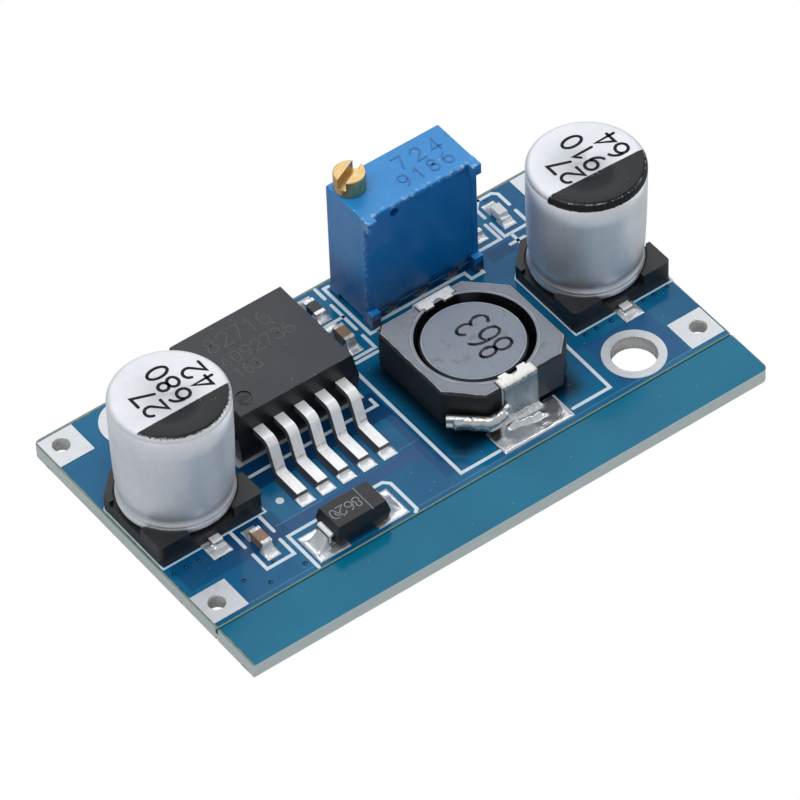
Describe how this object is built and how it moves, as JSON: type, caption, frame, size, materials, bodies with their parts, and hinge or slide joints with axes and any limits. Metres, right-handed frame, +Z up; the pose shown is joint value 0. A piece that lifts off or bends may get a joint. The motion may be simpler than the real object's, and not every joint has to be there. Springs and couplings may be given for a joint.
{
  "type": "buck converter module",
  "caption": "Step-down converter board with power regulator, electrolytic capacitors, shielded inductor, diode and multi-turn trimmer.",
  "frame": {"origin": "midway between the two mounting holes, on the underside of the board", "axes": "+X along the board from the input end to the output end, +Y to the rear edge where the trimmer stands, +Z up out of the component side"},
  "size_m": [0.043, 0.0252, 0.0137],
  "materials": {
    "solder_mask": "glossy blue solder mask over glass-fibre laminate",
    "tinned_copper": "bright tinned copper",
    "solder": "shiny uneven solder",
    "can_aluminium": "satin drawn aluminium",
    "black_moulding": "black moulding compound",
    "ferrite": "dark grey ferrite",
    "winding_wire": "enamelled copper wire with tinned ends",
    "brown_ceramic": "brown fired ceramic",
    "black_glaze": "black glaze on a white ceramic chip",
    "white_moulding": "white and milky moulding",
    "blue_housing": "blue moulded housing",
    "potting_resin": "dark blue cast resin",
    "brass": "turned brass",
    "o_ring_rubber": "black rubber",
    "element_ceramic": "white ceramic with a resistive track",
    "rotor_plastic": "natural moulded plastic"
  },
  "bodies": {
    "module": {"capacitor_solder": "solder", "chip_solder": "solder", "circuit_board": "solder_mask", "component_lands": "tinned_copper", "diode_body": "black_moulding", "diode_lead_left": "tinned_copper", "diode_lead_right": "tinned_copper", "diode_solder": "solder", "feedback_resistor_body": "black_glaze", "feedback_resistor_terminals": "tinned_copper", "front_ceramic_body": "brown_ceramic", "front_ceramic_terminals": "tinned_copper", "inductor_clip_front": "tinned_copper", "inductor_clip_rear": "tinned_copper", "inductor_core": "ferrite", "inductor_shield": "ferrite", "inductor_solder": "solder", "inductor_winding": "winding_wire", "input_capacitor_base": "black_moulding", "input_capacitor_can": "can_aluminium", "input_capacitor_lead_front": "tinned_copper", "input_capacitor_lead_rear": "tinned_copper", "input_front_pad": "tinned_copper", "input_rear_pad": "tinned_copper", "led_lens": "white_moulding", "led_resistor_body": "black_glaze", "led_resistor_terminals": "tinned_copper", "led_substrate": "white_moulding", "led_terminals": "tinned_copper", "mounting_ring_left": "tinned_copper", "mounting_ring_right": "tinned_copper", "output_capacitor_base": "black_moulding", "output_capacitor_can": "can_aluminium", "output_capacitor_lead_front": "tinned_copper", "output_capacitor_lead_rear": "tinned_copper", "output_front_pad": "tinned_copper", "output_rear_pad": "tinned_copper", "rear_ceramic_body": "brown_ceramic", "rear_ceramic_terminals": "tinned_copper", "regulator_body": "black_moulding", "regulator_lead_1": "tinned_copper", "regulator_lead_2": "tinned_copper", "regulator_lead_3": "tinned_copper", "regulator_lead_4": "tinned_copper", "regulator_lead_5": "tinned_copper", "regulator_solder": "solder", "regulator_tab": "tinned_copper", "trimmer_element": "element_ceramic", "trimmer_housing": "blue_housing", "trimmer_o_ring": "o_ring_rubber", "trimmer_pin_1": "tinned_copper", "trimmer_pin_2": "tinned_copper", "trimmer_pin_3": "tinned_copper", "trimmer_seal": "potting_resin", "trimmer_solder": "solder"},
    "trimmer_screw": {"trimmer_screw": "brass"},
    "trimmer_rotor": {"trimmer_rotor": "rotor_plastic", "trimmer_wiper": "tinned_copper"}
  },
  "joints": [
    {"name": "trimmer_screw_turn", "type": "hinge", "parent": "module", "child": "trimmer_screw", "pos_m": [0.0038, 0.00843, 0.00641], "axis": [0, 0, 1], "range_deg": [-4500, 4500]},
    {"name": "trimmer_rotor_turn", "type": "hinge", "parent": "module", "child": "trimmer_rotor", "pos_m": [0.00765, 0.00843, 0.00641], "axis": [0, 1, 0], "range_deg": [-150, 150]}
  ],
  "couplings": [
    {"joint": "trimmer_rotor_turn", "follows": "trimmer_screw_turn", "ratio": -0.033333}
  ]
}
